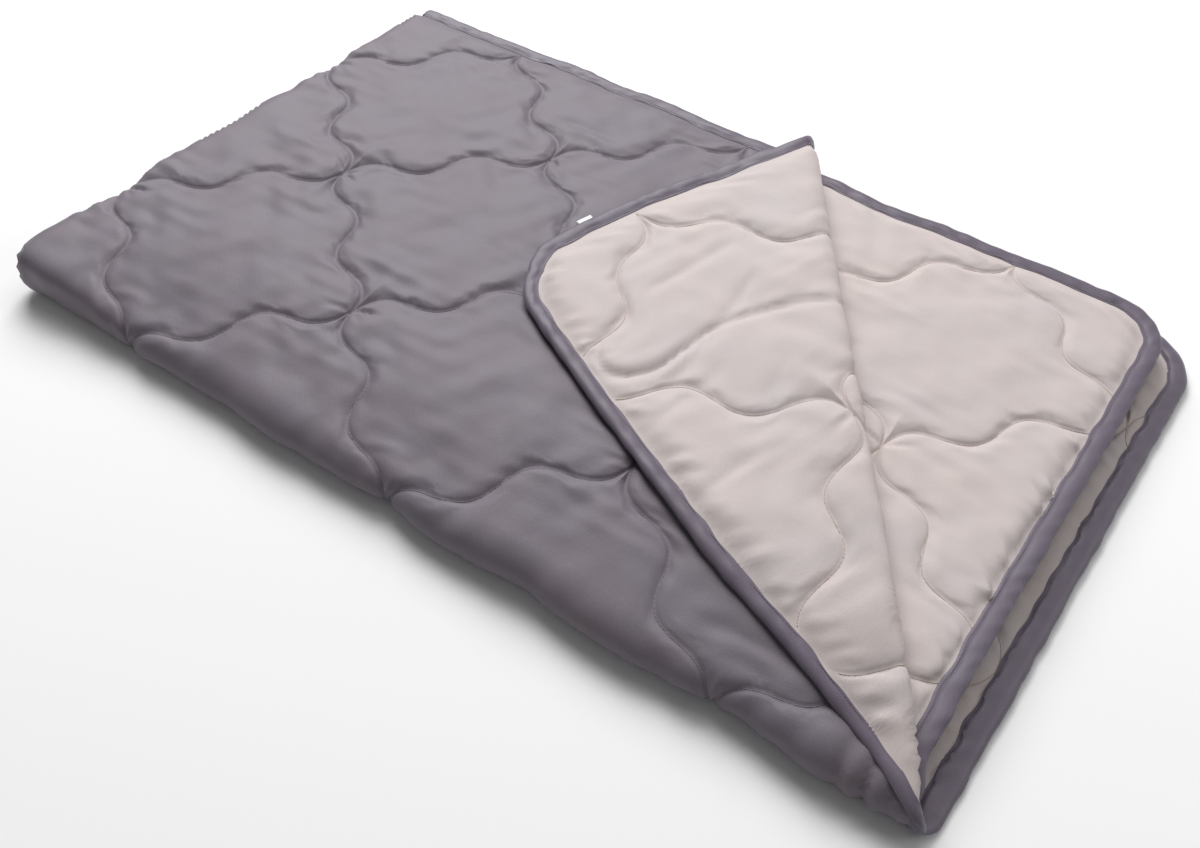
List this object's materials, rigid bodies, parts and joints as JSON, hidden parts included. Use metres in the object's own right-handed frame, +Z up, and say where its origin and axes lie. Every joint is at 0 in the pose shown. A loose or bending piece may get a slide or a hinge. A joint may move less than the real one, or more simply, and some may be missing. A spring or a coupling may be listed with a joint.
{
  "type": "camp quilt",
  "caption": "Light padded camping quilt, folded in four with its top corner turned back to show the pale lining; the stack opens at its long fold.",
  "frame": {"origin": "on the floor under the middle of the folded quilt", "axes": "+X from the left fold to the open right end, +Y from the near fold to the open back edge, +Z up"},
  "size_m": [1.1178, 0.7, 0.0816],
  "materials": {
    "face_fabric": "satin-woven microfibre, grey-mauve, soft sheen",
    "lining_fabric": "plain-woven microfibre, warm cream, soft",
    "batting": "white hollow-fibre batting",
    "binding_tape": "folded satin bias tape, grey-mauve",
    "face_thread": "polyester sewing thread, tone on tone",
    "label_satin": "white satin ribbon, blank"
  },
  "bodies": {
    "lower_half": {"layer1_face_fabric": "face_fabric", "layer1_batting": "batting", "layer1_lining_fabric": "lining_fabric", "layer1_binding": "binding_tape", "layer2_face_fabric": "face_fabric", "layer2_batting": "batting", "layer2_lining_fabric": "lining_fabric", "layer2_binding": "binding_tape", "end_fold_lower_face_fabric": "face_fabric", "end_fold_lower_batting": "batting", "end_fold_lower_lining_fabric": "lining_fabric", "end_fold_lower_binding": "binding_tape", "near_fold_outer_face_fabric": "face_fabric", "near_fold_outer_batting": "batting", "near_fold_outer_lining_fabric": "lining_fabric", "near_fold_outer_binding": "binding_tape", "near_fold_inner_face_fabric": "face_fabric", "near_fold_inner_batting": "batting", "near_fold_inner_lining_fabric": "lining_fabric", "near_fold_inner_binding": "binding_tape"},
    "upper_half": {"layer3_face_fabric": "face_fabric", "layer3_batting": "batting", "layer3_lining_fabric": "lining_fabric", "layer3_binding": "binding_tape", "layer4_face_fabric": "face_fabric", "layer4_batting": "batting", "layer4_lining_fabric": "lining_fabric", "layer4_binding": "binding_tape", "layer4_quilting_thread": "face_thread", "end_fold_upper_face_fabric": "face_fabric", "end_fold_upper_batting": "batting", "end_fold_upper_lining_fabric": "lining_fabric", "end_fold_upper_binding": "binding_tape"},
    "corner_flap": {"crease_roll_face_fabric": "face_fabric", "crease_roll_batting": "batting", "crease_roll_lining_fabric": "lining_fabric", "crease_roll_binding_front": "binding_tape", "crease_roll_binding_back": "binding_tape", "flap_face_fabric": "face_fabric", "flap_batting": "batting", "flap_lining_fabric": "lining_fabric", "flap_binding": "binding_tape", "care_label": "label_satin"}
  },
  "joints": [
    {"name": "near_fold", "type": "hinge", "parent": "lower_half", "child": "upper_half", "pos_m": [0, -0.3222, 0.0278], "axis": [1, 0, 0], "range_deg": [0, 178], "deforming": ["near_fold_outer_face_fabric", "near_fold_outer_batting", "near_fold_outer_lining_fabric", "near_fold_outer_binding", "near_fold_inner_face_fabric", "near_fold_inner_batting", "near_fold_inner_lining_fabric", "near_fold_inner_binding"]},
    {"name": "corner_fold", "type": "hinge", "parent": "upper_half", "child": "corner_flap", "pos_m": [0.51515, -0.322, 0.0618], "axis": [-0.565, 0.8251, 0], "range_deg": [0, 178], "deforming": ["crease_roll_face_fabric", "crease_roll_batting", "crease_roll_lining_fabric", "crease_roll_binding_front", "crease_roll_binding_back"]}
  ]
}
